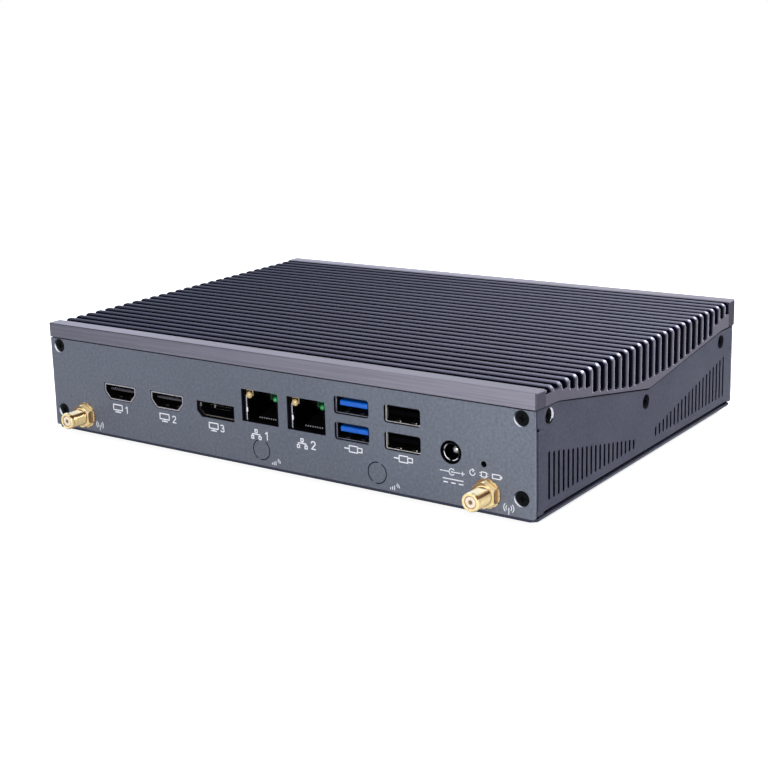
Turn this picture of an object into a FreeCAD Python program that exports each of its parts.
import FreeCAD, Part
import math
import os
from FreeCAD import Vector

# Fanless mini computer: ribbed aluminium heatsink lid over a sheet-metal box.
# The socket (io) panel faces -Y and the front panel, with the power button, faces +Y.
# +X is to the right seen from the socket side, +Z is up.
# Origin: centre of the bottom plate's underside. Millimetres throughout.

# ---- case ---------------------------------------------------------------
LID_WIDTH = 214.0
LID_DEPTH = 158.5
FIN_TOP = 42.3          # above the bottom plate's underside
SHEET = 1.2             # sheet thickness
LIP = 0.5               # how far the lid stands proud of the side sheets

HALF_W = LID_WIDTH / 2
Y_IO, Y_FRONT = -LID_DEPTH / 2, LID_DEPTH / 2           # outer faces of the panels
Y_IO_IN, Y_FRONT_IN = Y_IO + SHEET, Y_FRONT - SHEET     # inner faces of the panels
X_SIDE = HALF_W - LIP                                   # outer face of the side sheets
X_SIDE_IN = X_SIDE - SHEET

# lower edge of the lid along each side
IO_LIP_Z, FRONT_LIP_Z = 36.8, 32.4
IO_KNEE_Y, IO_KNEE_Z = -64.6, 36.5
VALLEY_Y, VALLEY_Z = 2.0, 24.85
FRONT_KNEE_Y, FRONT_KNEE_Z = 66.6, 32.5
SEAM = [    # (y, z), from the socket side to the front
    (Y_IO, IO_LIP_Z), (IO_KNEE_Y, IO_KNEE_Z), (VALLEY_Y, VALLEY_Z),
    (FRONT_KNEE_Y, FRONT_KNEE_Z), (Y_FRONT, FRONT_LIP_Z),
]

# ---- fins ---------------------------------------------------------------
FIN_COUNT = 27
FIN_PITCH = 5.3
SLOT_W = 3.1
SLOT_HALF = SLOT_W / 2
SLOT_FLOOR = 33.5
SIDE_SLOT_DEPTH = 3.2
SIDE_SLOT_R = 0.45
SHOULDER_R = 1.8        # rounded fin ends
EDGE_BEVEL = 0.45
FIN_BEVEL = 0.3
IO_FLOORS = [40.5, 40.7, 39.6, 38.3, 37.2, 36.1]    # shallow slots behind the socket lip
FRONT_FLOORS = [35.7, 37.0, 37.7]                   # slots before the front lip
SLOT_CENTRES = [FIN_PITCH * (i - FIN_COUNT / 2) for i in range(FIN_COUNT + 1)]

# ---- screws and mounting places -----------------------------------------
THREAD_R = 1.5
SHANK_R = 1.45
CLEARANCE_R = 1.7
SIDE_SCREWS = [(-70.1, 32.9), (0.4, 20.25), (67.0, 27.8)]       # (y, z)
PANEL_SCREW_X = 101.8
LOW_SCREW_Z = 7.6
IO_SCREWS_Z = (33.6, LOW_SCREW_Z)
FRONT_SCREWS_Z = (28.6, LOW_SCREW_Z)
COVER_SCREWS = [(100.0, -64.0), (100.0, 0.0), (100.0, 64.0)]    # (x, y)
POSTS = [(86, -38), (-86, -38), (86, 52), (-86, 52)]            # (x, y)
SIGNS = (1, -1)
CORNERS = [(sx, sy) for sx in SIGNS for sy in SIGNS]

# ---- inside -------------------------------------------------------------
BOARD_BOT, BOARD_TOP = 13.9, 15.5
CEILING = 31.0          # underside of the lid over the processor
IO_CEILING = 35.5       # underside of the lid over the sockets
LID_THREAD_TOP = 32.9
LID_SHANK_TOP = 32.8
BLOCK_X, BLOCK_Y, BLOCK_HALF = 0.0, 5.0, 30.0
BLOCK_SCREWS = [(BLOCK_X + sx * 24, BLOCK_Y + sy * 24) for sx, sy in CORNERS]

# ---- sockets and controls -----------------------------------------------
HDMI_X = [-70.33, -46.3]
DP_X = -22.82
LAN_X = [-2.1, 18.3]
USB_STACKS = [("usb3", 37.4, [28.27, 19.2]), ("usb2", 57.7, [28.1, 18.8])]  # x, upper and lower z
DC_X, DC_Z = 76.2, 18.7
CMOS_X, CMOS_Z = 88.3, 16.7
KNOCKOUTS = [(-2.1, 7.1), (47.35, 6.95)]
ANTENNA_X, ANTENNA_Z = 89.5, 7.35
POWER_X, POWER_Z = 80.0, 18.9
LED_X, LEDS_Z = 62.0, (22.0, 15.8)

AXES = {"x": Vector(1, 0, 0), "y": Vector(0, 1, 0), "z": Vector(0, 0, 1)}


# ---- helpers ------------------------------------------------------------
# p and q are always the two coordinates across the axis, in XYZ order.
def point(axis, a, p, q):
    return {"x": Vector(a, p, q), "y": Vector(p, a, q), "z": Vector(p, q, a)}[axis]


def box(x0, x1, y0, y1, z0, z1):
    """Box between two limits on each axis, given in either order."""
    corner = Vector(min(x0, x1), min(y0, y1), min(z0, z1))
    return Part.makeBox(abs(x1 - x0), abs(y1 - y0), abs(z1 - z0), corner)


def bar(axis, p, q, half_p, half_q, a0, a1):
    """Box centred on p, q that runs along an axis."""
    low = point(axis, a0, p - half_p, q - half_q)
    high = point(axis, a1, p + half_p, q + half_q)
    return box(low.x, high.x, low.y, high.y, low.z, high.z)


def rod(axis, p, q, a0, a1, radius):
    return Part.makeCylinder(radius, abs(a1 - a0), point(axis, min(a0, a1), p, q), AXES[axis])


def cone(axis, p, q, a0, a1, r0, r1):
    direction = AXES[axis] * (1 if a1 > a0 else -1)
    return Part.makeCone(r0, r1, abs(a1 - a0), point(axis, a0, p, q), direction)


def face(points):
    return Part.Face(Part.makePolygon(points + [points[0]]))


def prism(axis, outline, a0, a1):
    """Extrude a closed outline of (p, q) points."""
    return face([point(axis, a0, p, q) for p, q in outline]).extrude(AXES[axis] * (a1 - a0))


def hex_bar(axis, p, q, a0, a1, flats):
    radius = flats / math.sqrt(3.0)
    angles = [math.radians(60 * i + 30) for i in range(6)]
    outline = [(p + radius * math.cos(a), q + radius * math.sin(a)) for a in angles]
    return prism(axis, outline, a0, a1)


def edges_along(shape, axis, wanted):
    """Straight edges parallel to an axis whose centre satisfies wanted."""
    found = []
    for edge in shape.Edges:
        if len(edge.Vertexes) != 2:
            continue
        span = edge.Vertexes[1].Point - edge.Vertexes[0].Point
        parallel = abs(abs(span.dot(AXES[axis])) - span.Length) < 1e-6
        if span.Length >= 1e-6 and parallel and wanted(edge.CenterOfMass):
            found.append(edge)
    return found


def round_along(shape, radius, axis, wanted=lambda centre: True):
    return shape.makeFillet(radius, edges_along(shape, axis, wanted))


def bevel_along(shape, size, axis, wanted=lambda centre: True):
    return shape.makeChamfer(size, edges_along(shape, axis, wanted))


def end_edges(shape, axis, level):
    """Edges centred on one level along an axis."""
    return [e for e in shape.Edges if abs(e.CenterOfMass.dot(AXES[axis]) - level) < 1e-6]


def round_end(shape, radius, axis, level):
    return shape.makeFillet(radius, end_edges(shape, axis, level))


def bevel_end(shape, size, axis, level):
    return shape.makeChamfer(size, end_edges(shape, axis, level))


def round_box(x0, x1, y0, y1, z0, z1, radius, axis):
    return round_along(box(x0, x1, y0, y1, z0, z1), radius, axis)


def join(shapes):
    return shapes[0].fuse(shapes[1:]).removeSplitter()


def mirror_x(shape):
    return shape.mirror(Vector(0, 0, 0), AXES["x"])


def export(name, *shapes):
    solids = [solid for shape in shapes for solid in shape.Solids]
    out = solids[0] if len(solids) == 1 else Part.makeCompound(solids)
    out.exportStep("parts/" + name + ".step")


# ---- heatsink lid -------------------------------------------------------
def seam(y):
    """Height of the lid's lower edge at y."""
    for (ya, za), (yb, zb) in zip(SEAM, SEAM[1:]):
        if y <= yb:
            return za + (zb - za) * (y - ya) / (yb - ya)


def slot_levels(index, centre):
    """Floor of a slot across the top, and its lower end on the side faces."""
    if index < len(IO_FLOORS):
        return IO_FLOORS[index], IO_FLOORS[index]
    from_front = index - (len(SLOT_CENTRES) - len(FRONT_FLOORS))
    if from_front >= 0:
        return max(FRONT_FLOORS[from_front], 36.0), FRONT_FLOORS[from_front]
    return SLOT_FLOOR, max(seam(centre) + 1.3, 28.5)


def lid_shell():
    pocket_x, pocket_y = 99.8, 77.9
    skirt_drop = 8      # how far the inner skirts hang below the seam
    lid = prism("x", [(Y_IO, FIN_TOP), (Y_FRONT, FIN_TOP)] + SEAM[::-1], -HALF_W, HALF_W)
    hollow = [
        (-pocket_y, 20), (-pocket_y, IO_CEILING), (-60, IO_CEILING), (-50, 33.2),
        (-44, CEILING), (90, CEILING), (90, 20),
    ]
    lid = lid.cut(prism("x", hollow, -pocket_x, pocket_x))
    skirt_outline = [
        (-pocket_y, 37.6), (-pocket_y, 30.7), (-66, 30.7), (IO_KNEE_Y, IO_KNEE_Z - skirt_drop),
        (VALLEY_Y, VALLEY_Z - skirt_drop), (FRONT_KNEE_Y, FRONT_KNEE_Z - skirt_drop),
        (pocket_y, FRONT_LIP_Z - skirt_drop), (pocket_y, 33.4), (FRONT_KNEE_Y, 33.4),
        (VALLEY_Y, VALLEY_Z + 1), (IO_KNEE_Y, 37.4),
    ]
    skirt = prism("x", skirt_outline, pocket_x, X_SIDE_IN - 0.05)
    return join([lid, skirt, mirror_x(skirt)])


def shoulder_cutters():
    """Round the fin ends, and bevel the side edges of the plain end strips."""
    slots_y0, slots_y1 = SLOT_CENTRES[0] - SLOT_HALF, SLOT_CENTRES[-1] + SLOT_HALF
    cutters = []
    for s in SIGNS:
        centre_x, centre_z = s * (HALF_W - SHOULDER_R), FIN_TOP - SHOULDER_R
        block = box(centre_x, s * (HALF_W + 2), slots_y0, slots_y1, centre_z, FIN_TOP + 2)
        cutters.append(block.cut(rod("y", centre_x, centre_z, slots_y0 - 1, slots_y1 + 1, SHOULDER_R)))
        bevel = [
            (s * (HALF_W - EDGE_BEVEL), FIN_TOP + 0.01), (s * (HALF_W + 0.01), FIN_TOP - EDGE_BEVEL),
            (s * (HALF_W + 1), FIN_TOP - EDGE_BEVEL), (s * (HALF_W + 1), FIN_TOP + 1),
            (s * (HALF_W - EDGE_BEVEL), FIN_TOP + 1),
        ]
        for y0, y1 in ((Y_IO - 1, slots_y0 + 0.2), (slots_y1 - 0.2, Y_FRONT + 1)):
            cutters.append(prism("y", bevel, y0, y1))
    return cutters


def corner_cutters():
    """Bevel the lid's four vertical corners."""
    bevel = 0.5
    cutters = []
    for s in SIGNS:
        for inward, y in ((1, Y_IO), (-1, Y_FRONT)):
            outline = [
                (s * (HALF_W - bevel), y - inward * 0.01), (s * (HALF_W + 0.01), y + inward * bevel),
                (s * (HALF_W + 1), y + inward * bevel), (s * (HALF_W + 1), y - inward),
                (s * (HALF_W - bevel), y - inward),
            ]
            cutters.append(prism("z", outline, 30, FIN_TOP + 1))
    return cutters


def slot_cutters():
    mouth = SLOT_HALF + 0.5
    bevel_z = FIN_TOP - EDGE_BEVEL
    cutters = []
    for i, c in enumerate(SLOT_CENTRES):
        floor, low = slot_levels(i, c)
        outline = [
            (c - SLOT_HALF, floor), (c + SLOT_HALF, floor), (c + SLOT_HALF, bevel_z),
            (c + mouth, FIN_TOP + 0.05), (c - mouth, FIN_TOP + 0.05), (c - SLOT_HALF, bevel_z),
        ]
        cutters.append(prism("x", outline, -HALF_W - 1, HALF_W + 1))
        if low < floor:
            for s in SIGNS:
                cutters.append(round_box(
                    s * (HALF_W - SIDE_SLOT_DEPTH), s * (HALF_W + 1), c - SLOT_HALF, c + SLOT_HALF,
                    low, FIN_TOP - SHOULDER_R + 0.1, SIDE_SLOT_R, "x"))
    return cutters


def fin_bevel_cutters():
    """Small bevels round the shoulder and down the side of each fin."""
    over = 0.1
    wide = SLOT_HALF + FIN_BEVEL + over
    section = [     # (along y, outward)
        (-SLOT_HALF, -FIN_BEVEL), (-wide, over), (wide, over), (SLOT_HALF, -FIN_BEVEL),
    ]
    side_top = FIN_TOP - SHOULDER_R + 0.001
    cutters = []
    for i, c in enumerate(SLOT_CENTRES):
        side_low = slot_levels(i, c)[1] + 0.46
        for s in SIGNS:
            x = s * (HALF_W - SHOULDER_R)
            profile = face([Vector(x, c + dy, FIN_TOP + out) for dy, out in section])
            pivot = Vector(x, c, FIN_TOP - SHOULDER_R)
            cutters.append(profile.revolve(pivot, AXES["y"], 90 * s))
            if side_low < side_top - 0.3:
                profile = face([Vector(s * (HALF_W + out), c + dy, side_low) for dy, out in section])
                cutters.append(profile.extrude(Vector(0, 0, side_top - side_low)))
    return cutters


def lid_threads():
    holes = []
    for s in SIGNS:
        for y, z in SIDE_SCREWS:
            holes.append(rod("x", y, z, s * 99, s * 106, THREAD_R))
        holes.append(rod("y", s * PANEL_SCREW_X, IO_SCREWS_Z[0], -80, -69, THREAD_R))
        holes.append(rod("y", s * PANEL_SCREW_X, FRONT_SCREWS_Z[0], 69, 80, THREAD_R))
    for x, y in POSTS + BLOCK_SCREWS:
        holes.append(rod("z", x, y, CEILING - 1, LID_THREAD_TOP, THREAD_R))
    return holes


def build_lid():
    lid = lid_shell()
    for cutters in (shoulder_cutters, corner_cutters, slot_cutters, fin_bevel_cutters, lid_threads):
        lid = lid.cut(cutters())
    export("heatsink_cover", lid)


# ---- sheet panels -------------------------------------------------------
def sink_hole(axis, p, q, surface, inward):
    """Cutters for a deep countersunk clearance hole; inward is +1 or -1 along the axis."""
    sink_r = 2.7
    return [
        rod(axis, p, q, surface - inward, surface + inward * (SHEET + 1), CLEARANCE_R),
        rod(axis, p, q, surface - inward, surface + inward * 0.5, sink_r),
        cone(axis, p, q, surface + inward * 0.49, surface + inward * 1.25, sink_r, CLEARANCE_R),
    ]


def sink_screw(axis, p, q, surface, inward, length):
    """Countersunk screw with a cross recess, its head just below the surface."""
    recess_half_w, recess_half_l, recess_depth = 0.3, 1.15, 0.6
    top = surface + inward * 0.55
    head = cone(axis, p, q, top, top + inward * 0.68, 2.42, 1.54)
    shank = rod(axis, p, q, top + inward * 0.7, top + inward * (length - 0.35), SHANK_R)
    screw = head.fuse(shank).removeSplitter()
    ends = top - inward * 0.2, top + inward * recess_depth
    return screw.cut([
        bar(axis, p, q, recess_half_w, recess_half_l, *ends),
        bar(axis, p, q, recess_half_l, recess_half_w, *ends),
    ])


def panel_blank(y0, y1, lip_z):
    half_w, bottom, corner, lip_gap = 106.3, 1.35, 0.4, 0.4
    outline = [
        (corner - half_w, bottom), (half_w - corner, bottom), (half_w, bottom + corner),
        (half_w, lip_z - lip_gap), (-half_w, lip_z - lip_gap), (-half_w, bottom + corner),
    ]
    return prism("y", outline, y0, y1)


def knockout_ring(x, z):
    """Round groove broken by two bridges that hold the disc."""
    ring = rod("y", x, z, Y_IO - 1, Y_IO_IN + 1, 3.85).cut(rod("y", x, z, Y_IO - 2, Y_IO_IN + 2, 3.5))
    for angle in (20, 200):
        bridge = box(-0.7, 0.7, Y_IO - 2, Y_IO_IN + 2, 3.0, 5.0)
        bridge.rotate(Vector(0, 0, 0), AXES["y"], angle)
        bridge.translate(Vector(x, 0, z))
        ring = ring.cut(bridge)
    return ring.Solids


def build_io_panel():
    through = (Y_IO - 1, Y_IO_IN + 1)
    hdmi_hole = [(-8.12, 21.9), (8.12, 21.9), (8.12, 18.4), (5.4, 15.4), (-5.4, 15.4), (-8.12, 18.4)]
    dp_hole = [(-8.82, 21.2), (8.82, 21.2), (8.82, 15.3), (-6.6, 15.3), (-8.82, 17.5)]
    cut = []
    for centre, hole in [(x, hdmi_hole) for x in HDMI_X] + [(DP_X, dp_hole)]:
        cut.append(prism("y", [(centre + x, z) for x, z in hole], *through))
    for x in LAN_X:
        cut.append(box(x - 8.2, x + 8.2, *through, 16.6, 28.4))
    for _, x, levels in USB_STACKS:
        for z in levels:
            cut.append(round_box(x - 7.1, x + 7.1, *through, z - 3.1, z + 3.1, 1.1, "y"))
    cut.append(rod("y", DC_X, DC_Z, *through, 3.95))
    cut.append(rod("y", CMOS_X, CMOS_Z, *through, 1.0))
    for s in SIGNS:
        cut.append(rod("y", s * ANTENNA_X, ANTENNA_Z, *through, 3.0))
        for z in IO_SCREWS_Z:
            cut += sink_hole("y", s * PANEL_SCREW_X, z, Y_IO, 1)
    for x, z in KNOCKOUTS:
        cut += knockout_ring(x, z)
    export("io_panel", panel_blank(Y_IO, Y_IO_IN, IO_LIP_Z).cut(cut))


def build_front_panel():
    through = (Y_FRONT_IN - 1, Y_FRONT + 1)
    cut = [rod("y", POWER_X, POWER_Z, *through, 6.35)]
    for z in LEDS_Z:
        cut.append(rod("y", LED_X, z, *through, 1.1))
    for s in SIGNS:
        for z in FRONT_SCREWS_Z:
            cut += sink_hole("y", s * PANEL_SCREW_X, z, Y_FRONT, -1)
    export("front_panel", panel_blank(Y_FRONT_IN, Y_FRONT, FRONT_LIP_Z).cut(cut))


# Side sheets, with a seam-shaped upper edge and flanges at both ends and the bottom
SEAM_GAP = 0.45         # shadow gap below the lid
SIDE_Y0, SIDE_Y1 = Y_IO_IN + 0.1, Y_FRONT_IN - 0.1
SIDE_BOTTOM = 2.1
BEND_R = 1.1
BEND_W = 4.0            # side wall rebuilt with each end flange
BEND_Z0, IO_BEND_Z1, FRONT_BEND_Z1 = 3.9, 29.5, 23.3
LOW_HALF_L, LOW_Z1 = 74.0, 5.1      # bottom flange strip
VENT_COUNT, VENT_PITCH, VENT_W = 20, 3.22, 1.4
VENT_START, VENT_BOTTOM = 9.0, 5.45
VENT_TOP_MID, VENT_TOP_END = 9.1, 21.4      # slot tops nearest to and farthest from y = 0


def end_bend(y_out, inward, z1):
    """Short side wall with a flange turned towards the middle of the case."""
    wall = box(X_SIDE_IN, X_SIDE, y_out, y_out + inward * BEND_W, BEND_Z0, z1)
    flange = box(96.0, X_SIDE, y_out, y_out + inward * SHEET, BEND_Z0, z1)
    return round_along(wall.fuse(flange).removeSplitter(), BEND_R, "z",
                       lambda c: abs(c.x - X_SIDE) < 1e-3 and abs(c.y - y_out) < 1e-3)


def bottom_bend():
    wall = box(X_SIDE_IN, X_SIDE, -LOW_HALF_L, LOW_HALF_L, SIDE_BOTTOM, LOW_Z1)
    flange = box(94.0, X_SIDE, -LOW_HALF_L, LOW_HALF_L, SIDE_BOTTOM, SIDE_BOTTOM + SHEET)
    return round_along(wall.fuse(flange).removeSplitter(), BEND_R, "y",
                       lambda c: abs(c.x - X_SIDE) < 1e-3 and abs(c.z - SIDE_BOTTOM) < 1e-3)


def side_vents():
    radius = VENT_W / 2
    through = (X_SIDE_IN - 1, X_SIDE + 1)
    z0 = VENT_BOTTOM + radius
    cutters = []
    for s in SIGNS:
        for j in range(VENT_COUNT):
            y = s * (VENT_START + VENT_PITCH * j)
            top = VENT_TOP_MID + (VENT_TOP_END - VENT_TOP_MID) * j / (VENT_COUNT - 1)
            z1 = top - radius
            cutters.append(box(*through, y - radius, y + radius, z0, z1))
            cutters += [rod("x", y, z, *through, radius) for z in (z0, z1)]
    return cutters


def build_side_panels():
    side = prism("x", [
        (SIDE_Y0, SIDE_BOTTOM), (SIDE_Y1, SIDE_BOTTOM), (SIDE_Y1, FRONT_LIP_Z - SEAM_GAP - 0.3),
        (FRONT_KNEE_Y, FRONT_KNEE_Z - SEAM_GAP - 0.3), (VALLEY_Y, VALLEY_Z - SEAM_GAP - 0.15),
        (IO_KNEE_Y, IO_KNEE_Z - SEAM_GAP), (SIDE_Y0, IO_LIP_Z - SEAM_GAP),
    ], X_SIDE_IN, X_SIDE)
    x0, x1 = X_SIDE_IN - 1, X_SIDE + 1
    relief_x, relief_y = X_SIDE_IN - 0.6, 1.4
    # make room for the bends, with a notch above each end bend
    side = side.cut([
        box(x0, x1, SIDE_Y0 - 1, SIDE_Y0 + BEND_W, BEND_Z0, IO_BEND_Z1 + 0.1),
        box(x0, x1, SIDE_Y1 - BEND_W, SIDE_Y1 + 1, BEND_Z0, FRONT_BEND_Z1 + 0.1),
        box(x0, x1, -LOW_HALF_L, LOW_HALF_L, 1.0, LOW_Z1),
        box(relief_x, x1, SIDE_Y0 - 1, SIDE_Y0 + relief_y, IO_BEND_Z1, IO_BEND_Z1 + 1),
        box(relief_x, x1, SIDE_Y1 - relief_y, SIDE_Y1 + 1, FRONT_BEND_Z1, FRONT_BEND_Z1 + 1),
    ])
    side = join([side, end_bend(SIDE_Y0, 1, IO_BEND_Z1), end_bend(SIDE_Y1, -1, FRONT_BEND_Z1),
                 bottom_bend()])
    cut = side_vents()
    for y, z in SIDE_SCREWS:
        cut += sink_hole("x", y, z, X_SIDE, -1)
    for y0, y1 in ((Y_IO_IN - 1, Y_IO_IN + 3), (Y_FRONT_IN - 3, Y_FRONT_IN + 1)):
        cut.append(rod("y", PANEL_SCREW_X, LOW_SCREW_Z, y0, y1, THREAD_R))
    for x, y in COVER_SCREWS:
        cut.append(rod("z", x, y, 1.5, 4.5, THREAD_R))
    side = side.cut(cut)
    export("side_panel_right", side)
    export("side_panel_left", mirror_x(side))


def build_bottom_cover():
    """Plate with raised screw pads, mounting collars and intake slots."""
    half_w, half_d, corner = X_SIDE, LID_DEPTH / 2 - 0.3, 2.0
    outline = [
        (corner - half_w, -half_d), (half_w - corner, -half_d), (half_w, corner - half_d),
        (half_w, half_d - corner), (half_w - corner, half_d), (corner - half_w, half_d),
        (-half_w, half_d - corner), (-half_w, corner - half_d),
    ]
    plate = round_end(prism("z", outline, 0, SHEET), 0.8, "z", 0)
    raised, cut = [], []
    for s in SIGNS:
        for x, y in COVER_SCREWS:
            raised.append(rod("z", s * x, y, 0.8, 2.08, 4.5))
            cut.append(rod("z", s * x, y, -1, 3, CLEARANCE_R))
            cut += sink_hole("z", s * x, y, 0.0, 1)
    for offset in (37.5, 50.0):
        for sx, sy in CORNERS:
            raised.append(rod("z", sx * offset, sy * offset, 0.8, 3.6, 3.6))
            cut.append(rod("z", sx * offset, sy * offset, -1, 5, 2.0))
    slot_r = 1
    for k in range(9):
        y = -12.0 + 4.0 * k
        for x0, x1 in ((-62.0, -12.0), (12.0, 62.0)):
            x0, x1 = x0 + slot_r, x1 - slot_r
            cut.append(box(x0, x1, y - slot_r, y + slot_r, -1, 3))
            cut += [rod("z", x, y, -1, 3, slot_r) for x in (x0, x1)]
    export("bottom_cover", join([plate] + raised).cut(cut))


def build_feet():
    foot_x, foot_y, radius, height = 86.0, 58.0, 6.0, 2.5
    feet = [rod("z", sx * foot_x, sy * foot_y, -height, 0, radius) for sx, sy in CORNERS]
    export("rubber_feet", *[round_end(foot, 0.9, "z", -height) for foot in feet])


def build_case_screws():
    for name, levels, y, inward, length in (("io_panel_screws", IO_SCREWS_Z, Y_IO, 1, 7.0),
                                            ("front_panel_screws", FRONT_SCREWS_Z, Y_FRONT, -1, 8.0)):
        export(name, *[sink_screw("y", s * PANEL_SCREW_X, z, y, inward, length)
                       for s in SIGNS for z in levels])
    export("side_panel_screws", *[sink_screw("x", y, z, s * X_SIDE, -s, 5.5)
                                  for s in SIGNS for y, z in SIDE_SCREWS])
    export("bottom_screws", *[sink_screw("z", s * x, y, 0.0, 1, 5.5)
                              for s in SIGNS for x, y in COVER_SCREWS])


# ---- mainboard, processor and heat block --------------------------------
def build_board():
    board = round_along(box(-95, 95, -75.4, 70, BOARD_BOT, BOARD_TOP), 2.0, "z")
    cut = [rod("z", x, y, 12, 17, 1.6) for x, y in POSTS]
    cut.append(box(DC_X - 5.3, DC_X + 5.3, -77, -62.5, 12, 17))     # notch for the power inlet
    export("mainboard", board.cut(cut))


def build_board_fixings():
    head_z = BOARD_BOT - 2.0
    posts, screws = [], []
    for x, y in POSTS:
        stud = rod("z", x, y, CEILING - 0.5, LID_SHANK_TOP, SHANK_R)
        post = hex_bar("z", x, y, BOARD_TOP, CEILING, 5.5).fuse(stud).removeSplitter()
        posts.append(post.cut(rod("z", x, y, BOARD_TOP - 1, 23.0, THREAD_R)))
        screw = round_end(rod("z", x, y, head_z, BOARD_BOT, 2.8), 0.7, "z", head_z)
        screw = screw.fuse(rod("z", x, y, BOARD_BOT - 0.5, 21.0, SHANK_R)).removeSplitter()
        recess = (BOARD_BOT - 2.5, BOARD_BOT - 1.1)
        screws.append(screw.cut([bar("z", x, y, 0.3, 1.3, *recess), bar("z", x, y, 1.3, 0.3, *recess)]))
    export("board_standoffs", *posts)
    export("board_screws", *screws)


def build_processor():
    package_top, die_top, pad_top = 16.8, 17.4, 17.9
    x, y = BLOCK_X, BLOCK_Y
    export("processor_package", bar("z", x, y, 22.5, 14, BOARD_TOP, package_top))
    export("processor_die", box(x - 14, x + 1, y - 6, y + 6, package_top, die_top),
           box(x + 4, x + 13, y - 4.5, y + 4.5, package_top, die_top))
    export("thermal_pad", bar("z", x, y, 15, 8, die_top, pad_top))
    block = round_along(bar("z", x, y, BLOCK_HALF, BLOCK_HALF, pad_top, CEILING), 2.0, "z")
    sink_top = 21.5     # ceiling of the screw-head pockets
    cut = [rod("z", x, y, 17, 32, CLEARANCE_R) for x, y in BLOCK_SCREWS]
    cut += [rod("z", x, y, 17, sink_top, 3.1) for x, y in BLOCK_SCREWS]
    export("heat_block", block.cut(cut))
    screws = []
    for x, y in BLOCK_SCREWS:
        shank = rod("z", x, y, 21.0, LID_SHANK_TOP, SHANK_R)
        screw = rod("z", x, y, 18.4, sink_top, 2.75).fuse(shank).removeSplitter()
        screws.append(screw.cut(hex_bar("z", x, y, 17.5, 20.2, 2.5)))
    export("heat_block_screws", *screws)


# ---- video sockets ------------------------------------------------------
# Outline points: x from the socket's centre, z, and how far x and z move per unit of inset
HDMI_OUTLINE = [
    (-7.9, 21.7, 1, -1), (7.9, 21.7, -1, -1), (7.9, 18.5, -1, 0.4),
    (5.3, 15.62, -0.6, 1), (-5.3, 15.62, 0.6, 1), (-7.9, 18.5, 1, 0.4),
]
DP_OUTLINE = [
    (-8.7, 21.1, 1, -1), (8.7, 21.1, -1, -1), (8.7, 15.55, -1, 1),
    (-6.5, 15.55, 0.6, 1), (-8.7, 17.75, 1, 0.4),
]


def tongue(x0, x1, front, back, z0, z1, bevel):
    """Contact tongue with a bevelled nose; front and back are y."""
    return bevel_along(box(x0, x1, front, back, z0, z1), bevel, "x", lambda c: c.y < front + 0.5)


def video_socket(centre, outline, mouth_y, depth, corner_r, leg_x, leg_top, blade):
    """Shield and tongue; blade is the tongue's x0, x1, front y, z0, z1 from the socket's centre
    and the panel's outer face."""
    def body(inset, y0, y1):
        return prism("y", [(centre + x + inset * dx, z + inset * dz) for x, z, dx, dz in outline],
                     y0, y1)

    back = Y_IO + depth
    shell = round_along(body(0, mouth_y, back), corner_r, "y")
    legs = [box(centre + s * leg_x - 0.3, centre + s * leg_x + 0.3, Y_IO + 5.5, Y_IO + 9.5,
                BOARD_TOP, leg_top) for s in SIGNS]
    shield = join([shell] + legs).cut(body(0.45, Y_IO - 1, back - 0.4))
    x0, x1, front, z0, z1 = blade
    insert = join([body(0.52, back - 2.3, back - 0.45),
                   tongue(centre + x0, centre + x1, Y_IO + front, back - 1.5, z0, z1, 0.25)])
    return shield, insert


def build_video_sockets():
    sockets = [video_socket(x, HDMI_OUTLINE, Y_IO + 0.1, 12.5, 0.5, 7.3, 18.8,
                            (-6.0, 6.0, 1.4, 19.0, 19.85)) for x in HDMI_X]
    sockets.append(video_socket(DP_X, DP_OUTLINE, Y_IO_IN + 0.1, 13.5, 0.4, 8.1, 18.4,
                                (-6.2, 6.4, 2.6, 18.3, 19.3)))
    export("video_shields", *[shield for shield, _ in sockets])
    export("video_tongues", *[insert for _, insert in sockets])


# ---- network sockets ----------------------------------------------------
def build_lan_sockets():
    y0, y1 = Y_IO_IN + 0.12, Y_IO + 22.0
    top, wall = 28.9, 0.28
    contact = [     # (y from the panel's outer face, z)
        (4.3, 17.24), (4.9, 17.24), (13.2, 19.7), (13.1, 20.1), (4.9, 17.72), (4.3, 17.62),
    ]
    contact_outline = [(Y_IO + y, z) for y, z in contact]
    shields, housings, contacts = [], [], []
    leds = {-1: [], 1: []}      # by side of the socket
    for c in LAN_X:
        shield = round_box(c - 8.0, c + 8.0, y0, y1, BOARD_TOP, top, 0.4, "y")
        shields.append(shield.cut(
            box(c - 7.72, c + 7.72, y0 - 1, y1 - 0.3, BOARD_TOP - 1, top - wall)))
        housing = box(c - 7.66, c + 7.66, y0 + 0.25, y1 - 0.36, BOARD_TOP + 0.04, 28.56)
        # plug opening, then the two steps of the latch recess above it
        cut = [
            box(c - 5.95, c + 5.95, y0 - 1, Y_IO + 15.5, 17.2, 25.0),
            box(c - 3.15, c + 3.15, y0 - 1, Y_IO + 13.0, 24.5, 26.7),
            box(c - 1.75, c + 1.75, y0 - 1, Y_IO + 11.0, 26.5, 27.9),
        ]
        for s in leds:
            x = c + s * 5.5
            cut.append(box(x - 1.6, x + 1.6, y0 - 1, Y_IO + 7, 25.75, 28.0))
            leds[s].append(round_box(x - 1.55, x + 1.55, y0 + 0.3, Y_IO + 6.9, 25.8, 27.95, 0.3, "y"))
        housings.append(housing.cut(cut))
        for k in range(8):
            x = c + (k - 3.5) * 1.02
            contacts.append(prism("x", contact_outline, x - 0.22, x + 0.22))
    export("lan_shields", *shields)
    export("lan_housings", *housings)
    export("lan_contacts", *contacts)
    export("lan_amber_leds", *leds[-1])
    export("lan_green_leds", *leds[1])


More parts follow.
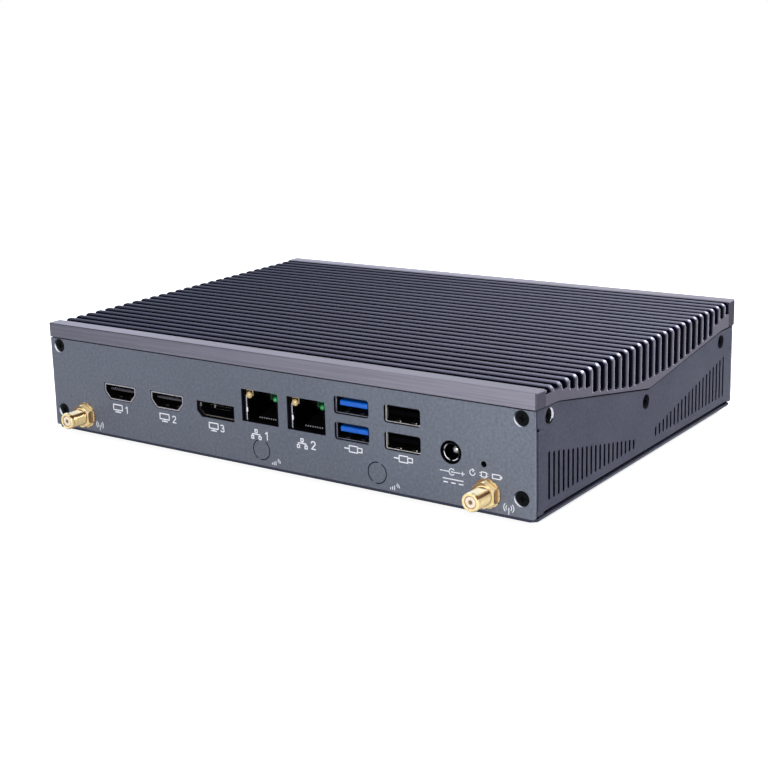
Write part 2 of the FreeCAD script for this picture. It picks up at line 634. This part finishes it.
# ---- USB stacks ---------------------------------------------------------
def build_usb_stack(name, c, levels):
    half_w, half_h, wall, fit = 7.04, 3.04, 0.42, 0.06
    back = Y_IO + 17.5
    in_w, in_h = half_w - wall, half_h - wall
    upper, lower = levels
    shells = [round_box(c - half_w, c + half_w, Y_IO + 0.8, back, z - half_h, z + half_h, 1.04, "y")
              for z in levels]
    shells.append(round_box(c - half_w, c + half_w, Y_IO_IN + 0.12, back,
                            BOARD_TOP, upper + half_h, 0.68, "y"))
    shield = join(shells)
    for z in levels:
        shield = shield.cut(
            round_box(c - in_w, c + in_w, Y_IO - 1, back - 0.3, z - in_h, z + in_h, 0.65, "y"))
    shield = shield.cut(
        box(c - in_w, c + in_w, Y_IO_IN + 0.45, back - 0.3, lower + half_h, upper - half_h))
    export(name + "_shield", shield)
    in_w, in_h = in_w - fit, in_h - fit
    inserts = []
    for z in levels:
        base = round_box(c - in_w, c + in_w, Y_IO + 12.2, back - 0.4, z - in_h, z + in_h, 0.6, "y")
        blade = tongue(c - 5.6, c + 5.6, Y_IO + 1.6, Y_IO + 12.5, z - 0.55, z + 1.35, 0.3)
        inserts.append(join([base, blade]))
    export(name + "_tongues", *inserts)


# ---- power inlet and reset switch ---------------------------------------
def build_dc_jack():
    def dc_rod(y0, y1, radius):
        """Rod on the inlet's axis; y from the panel's outer face."""
        return rod("y", DC_X, DC_Z, Y_IO + y0, Y_IO + y1, radius)

    bore_r = 3.05
    body = round_box(DC_X - 4.9, DC_X + 4.9, Y_IO_IN + 0.12, Y_IO + 14.5, 13.6, 24.4, 0.6, "y")
    body = join([body, dc_rod(0.35, SHEET + 1.0, 3.75)])
    body = body.cut(dc_rod(-1, 10.5, bore_r))
    body = body.cut(dc_rod(9, 12.5, 1.3))
    body = body.cut(cone("y", DC_X, DC_Z, Y_IO + 0.34, Y_IO + 0.85, 3.45, bore_r))
    export("dc_jack_body", body)
    barrel = dc_rod(0.6, 10.3, 3.0).cut(dc_rod(0, 11, 2.72))
    pin = round_end(dc_rod(2.7, 12.3, 1.25), 0.9, "y", Y_IO + 2.7)
    export("dc_jack_contacts", barrel, pin)


def build_cmos_switch():
    """Reset switch behind its small hole."""
    tip_y = -77.3
    body = box(CMOS_X - 3.0, CMOS_X + 3.0, -75.2, -71.7, BOARD_TOP, 18.9)
    body = bevel_along(body, 0.4, "y").cut(rod("y", CMOS_X, CMOS_Z, -76, -73.4, 0.75))
    export("cmos_switch_body", body)
    export("cmos_plunger", bevel_end(rod("y", CMOS_X, CMOS_Z, tip_y, -73.8, 0.7), 0.15, "y", tip_y))


# ---- antenna jacks ------------------------------------------------------
def build_antenna_jacks():
    thread_r, length = 3.175, 10.65
    tip = Y_IO - length
    z = ANTENNA_Z
    jacks, nuts, washers, insulators, contacts = [], [], [], [], []
    for s in SIGNS:
        x = s * ANTENNA_X
        jack = bevel_end(rod("y", x, z, tip, tip + 7.35, thread_r), 0.35, "y", tip)
        jack = join([
            jack,
            rod("y", x, z, tip + 7.0, Y_IO_IN + 0.5, 2.85),
            rod("y", x, z, Y_IO_IN + 0.05, Y_IO_IN + 2.1, 4.6),
            rod("y", x, z, Y_IO_IN + 2.0, -70.0, 2.2),
        ])
        jack = jack.cut(rod("y", x, z, tip - 1, Y_IO_IN, 2.12))
        jacks.append(jack.cut(rod("y", x, z, -74.0, -69.0, 1.0)))

        nut = hex_bar("y", x, z, Y_IO - 2.95, Y_IO - 0.65, 8.0)
        nut = nut.common(cone("y", x, z, Y_IO - 2.96, Y_IO + 2.0, 4.25, 6.6))
        nuts.append(nut.cut(rod("y", x, z, Y_IO - 4, Y_IO + 1, 2.9)))

        washer = rod("y", x, z, Y_IO - 0.62, Y_IO - 0.01, 4.9)
        for k in range(12):     # small notches round the rim
            a = math.radians(30 * k)
            washer = washer.cut(rod("y", x + 4.95 * math.cos(a), z + 4.95 * math.sin(a),
                                    Y_IO - 1, Y_IO, 0.35))
        washers.append(washer.cut(rod("y", x, z, Y_IO - 4, Y_IO + 1, 2.95)))

        insulator = rod("y", x, z, tip + 0.3, Y_IO_IN - 0.05, 2.08)
        insulators.append(insulator.cut(rod("y", x, z, tip, Y_IO_IN, 0.68)))
        contacts.append(rod("y", x, z, tip + 0.45, Y_IO_IN - 0.05, 0.64))
    export("antenna_jacks", *jacks)
    export("antenna_nuts", *nuts)
    export("antenna_washers", *washers)
    export("antenna_insulators", *insulators)
    export("antenna_contacts", *contacts)


# ---- power button and indicator lights ----------------------------------
def build_power_button():
    def button_rod(y0, y1, radius):
        return rod("y", POWER_X, POWER_Z, y0, y1, radius)

    face_y = Y_FRONT + 1.2
    bezel_y = Y_FRONT + 0.7
    stem_y = 72.0
    cap = round_end(button_rod(76.5, face_y, 5.9), 0.6, "y", face_y)
    export("power_button", join([cap, button_rod(76.2, 77.6, 7.4), button_rod(stem_y, 76.5, 1.5)]))
    bezel = round_end(button_rod(Y_FRONT, bezel_y, 8.2), 0.5, "y", bezel_y)
    bezel = join([bezel, button_rod(Y_FRONT_IN, Y_FRONT + 0.1, 6.33)])
    export("power_button_bezel", bezel.cut(button_rod(Y_FRONT_IN - 1, Y_FRONT + 2, 6.0)))
    switch = round_box(POWER_X - 3.6, POWER_X + 3.6, 66.0, 70.4, BOARD_TOP, 22.4, 0.4, "y")
    export("power_switch", switch.cut(button_rod(68.6, 71, 1.0)))
    export("power_switch_plunger", button_rod(69.4, stem_y, 0.95))


def build_light_pipe():
    tip_y = Y_FRONT + 0.15
    pipes = [round_end(rod("y", LED_X, z, 74.5, tip_y, 1.0), 0.35, "y", tip_y) for z in LEDS_Z]
    stem = box(LED_X - 0.8, LED_X + 0.8, 73.2, 75.0, BOARD_TOP, 22.8)
    export("led_light_pipe", join(pipes + [stem]))


# ---- memory, under the board --------------------------------------------
MEMORY_X = -30.0
MODULE_HALF_W = 33.8
MODULE_Z0, MODULE_Z1 = 9.9, 11.1
LATCH_X, LATCH_Y = 35.6, 14.0       # latch pivot; x from the module's centre


def build_memory_module():
    module = bar("z", MEMORY_X, 7.0, MODULE_HALF_W, 15.0, MODULE_Z0, MODULE_Z1)
    cut = [rod("z", MEMORY_X + s * MODULE_HALF_W, -2.0, 9, 12, 1.9) for s in SIGNS]
    cut.append(box(MEMORY_X + 8, MEMORY_X + 9.5, 18.5, 23, 9, 12))
    export("memory_module", module.cut(cut))
    export("memory_chips", *[bar("z", MEMORY_X - 24 + 16 * k, 5.0, 5.5, 6.0, z, z + 1.05)
                             for z in (8.85, MODULE_Z1) for k in range(4)])


def build_memory_socket():
    socket = box(MEMORY_X - 35.6, MEMORY_X + 35.6, 17.6, 25.0, 8.9, BOARD_BOT)
    socket = socket.cut(box(MEMORY_X - 33.9, MEMORY_X + 33.9, 17, 22.1, 9.82, 11.18))
    ears = []
    for s in SIGNS:
        outer = MEMORY_X + s * 37.2
        ears.append(box(MEMORY_X + s * 33.95, outer, 12.0, 18.0, 12.3, BOARD_BOT))
        ears.append(rod("z", MEMORY_X + s * LATCH_X, LATCH_Y, 9.2, 12.5, 0.6))
        ears.append(box(MEMORY_X + s * 35.0, outer, 17.2, 25.0, 9.2, BOARD_BOT))
    export("memory_socket", join([socket] + ears))


def build_memory_latch(name, s):
    z0, z1 = 9.3, 12.1
    hook = [(34.6, -5.0), (33.0, -3.4), (33.0, -1.2), (34.6, -0.6)]
    pivot = (MEMORY_X + s * LATCH_X, LATCH_Y)
    inner = MEMORY_X + s * 34.2
    latch = join([
        box(inner, MEMORY_X + s * 35.0, -5.0, 15.0, z0, z1),
        rod("z", *pivot, z0, z1, 1.45),
        prism("z", [(MEMORY_X + s * x, y) for x, y in hook], z0, 9.8),
        box(inner, MEMORY_X + s * 37.4, -6.2, -4.6, z0, z1),
    ])
    export(name, latch.cut(rod("z", *pivot, 8, 13, 0.65)))


# ---- storage and wireless cards, under the board -------------------------
CARD_Z0, CARD_Z1 = 10.6, 11.4
SSD_X, SSD_Y0, SSD_Y1 = 38.0, -30.0, 50.0
WIFI_X, WIFI_Y0, WIFI_Y1 = 72.0, -22.0, 8.0


def card(x, y0, y1, chips):
    """Card with a screw notch in its -Y end; chips are (x0, x1, y0, y1, z0)."""
    plate = box(x - 11, x + 11, y0, y1, CARD_Z0, CARD_Z1).cut(rod("z", x, y0, 10, 12, 1.8))
    return join([plate] + [box(*chip, 10.7) for chip in chips])


def card_socket(x, card_end):
    body = box(x - 11, x + 11, card_end - 2.4, card_end + 4.0, 9.2, BOARD_BOT)
    return body.cut(box(x - 12, x + 12, card_end - 3, card_end + 0.1, CARD_Z0 - 0.06, CARD_Z1 + 0.06))


def build_cards():
    ssd_chips = [(29.5, 46.5, -20, -6, 9.4), (29.5, 46.5, 2, 16, 9.4), (32, 44, 24, 36, 9.6)]
    export("ssd_card", card(SSD_X, SSD_Y0, SSD_Y1, ssd_chips))
    export("wifi_card", card(WIFI_X, WIFI_Y0, WIFI_Y1, [(63.5, 80.5, -13, 4, 9.3)]))
    export("card_sockets", card_socket(SSD_X, SSD_Y1), card_socket(WIFI_X, WIFI_Y1))
    head_z = 9.7
    standoffs, screws = [], []
    for x, y in ((SSD_X, SSD_Y0), (WIFI_X, WIFI_Y0)):
        standoff = hex_bar("z", x, y, CARD_Z1 + 0.02, BOARD_BOT, 5.0)
        standoffs.append(standoff.cut(rod("z", x, y, 11, 14, 1.05)))
        head = round_end(rod("z", x, y, head_z, CARD_Z0 - 0.02, 2.6), 0.4, "z", head_z)
        screw = join([head, rod("z", x, y, 10.3, 13.5, 1.0)])
        screws.append(screw.cut([bar("z", x, y, 0.25, 1, 9.5, 10.1), bar("z", x, y, 1, 0.25, 9.5, 10.1)]))
    export("card_standoffs", *standoffs)
    export("card_screws", *screws)


# Cable centre lines (x, y, z), from the antenna jack to the wireless card
LEFT_CABLE = [
    (-89.5, -69.6, 7.35), (-89.3, -65, 7.3), (-84, -59.5, 6.6), (-70, -58, 6.0),
    (-30, -58, 6.0), (20, -58, 6.0), (55, -56.5, 6.3), (65, -49, 7.0),
    (67, -36, 8.4), (66.6, -25, 9.1), (66.5, -19.5, 9.1),
]
RIGHT_CABLE = [
    (89.5, -69.6, 7.35), (89.3, -64, 7.3), (85, -52, 7.2), (79.5, -40, 8.0),
    (77.8, -28, 9.1), (77.5, -19.5, 9.1),
]


def cable(path):
    """Round cable with a plug at the card end."""
    spline = Part.BSplineCurve()
    spline.interpolate([Vector(*p) for p in path])
    edge = spline.toShape()
    start = edge.tangentAt(edge.FirstParameter)
    section = Part.Wire([Part.makeCircle(0.6, Vector(*path[0]), start)])
    sweep = Part.Wire([edge]).makePipeShell([section], True, False)
    return join([sweep, rod("z", path[-1][0], -18.2, 8.3, 10.57, 1.5)])


# ---- other parts on top of the board --------------------------------------
def build_coin_cell():
    x, y, cell_top = -62, 25, 19.8
    holder = rod("z", x, y, BOARD_TOP, 19.4, 11.4).cut(rod("z", x, y, 16.55, 20, 10.08))
    holder = holder.cut([bar("z", x, y, 1.5, 13, 17.5, 20), bar("z", x, y, 13, 1.5, 17.5, 20)])
    export("coin_cell_holder", holder)
    export("coin_cell", round_end(rod("z", x, y, 16.6, cell_top, 10.0), 0.5, "z", cell_top))


def build_board_parts():
    export("power_inductors", *[
        round_box(40, 47, -22 + 9 * k, -15 + 9 * k, BOARD_TOP, 19.6, 0.8, "z") for k in range(4)])
    can_top = 21.7
    cans = [(56, -20), (56, -11), (56, -2), (56, 7), (64, -40), (72, -40)]
    export("board_capacitors", *[
        round_end(rod("z", x, y, BOARD_TOP, can_top, 3.1), 0.5, "z", can_top) for x, y in cans])
    chips = [   # (x0, x1, y0, y1, top)
        (-7, 1, -53, -45, 16.4), (14, 22, -53, -45, 16.4), (-52, -40, -30, -18, 16.6),
        (60, 72, 30, 42, 16.6), (-50, -42, -50, -42, 16.4),
    ]
    export("board_chips", *[box(*sides, BOARD_TOP, top) for *sides, top in chips])


os.makedirs("parts", exist_ok=True)
build_lid()
build_io_panel()
build_front_panel()
build_side_panels()
build_bottom_cover()
build_feet()
build_case_screws()
build_board()
build_board_fixings()
build_processor()
build_video_sockets()
build_lan_sockets()
for stack in USB_STACKS:
    build_usb_stack(*stack)
build_dc_jack()
build_cmos_switch()
build_antenna_jacks()
build_power_button()
build_light_pipe()
build_memory_module()
build_memory_socket()
build_memory_latch("memory_latch_left", -1)
build_memory_latch("memory_latch_right", 1)
build_cards()
export("antenna_cables", cable(LEFT_CABLE), cable(RIGHT_CABLE))
build_coin_cell()
build_board_parts()
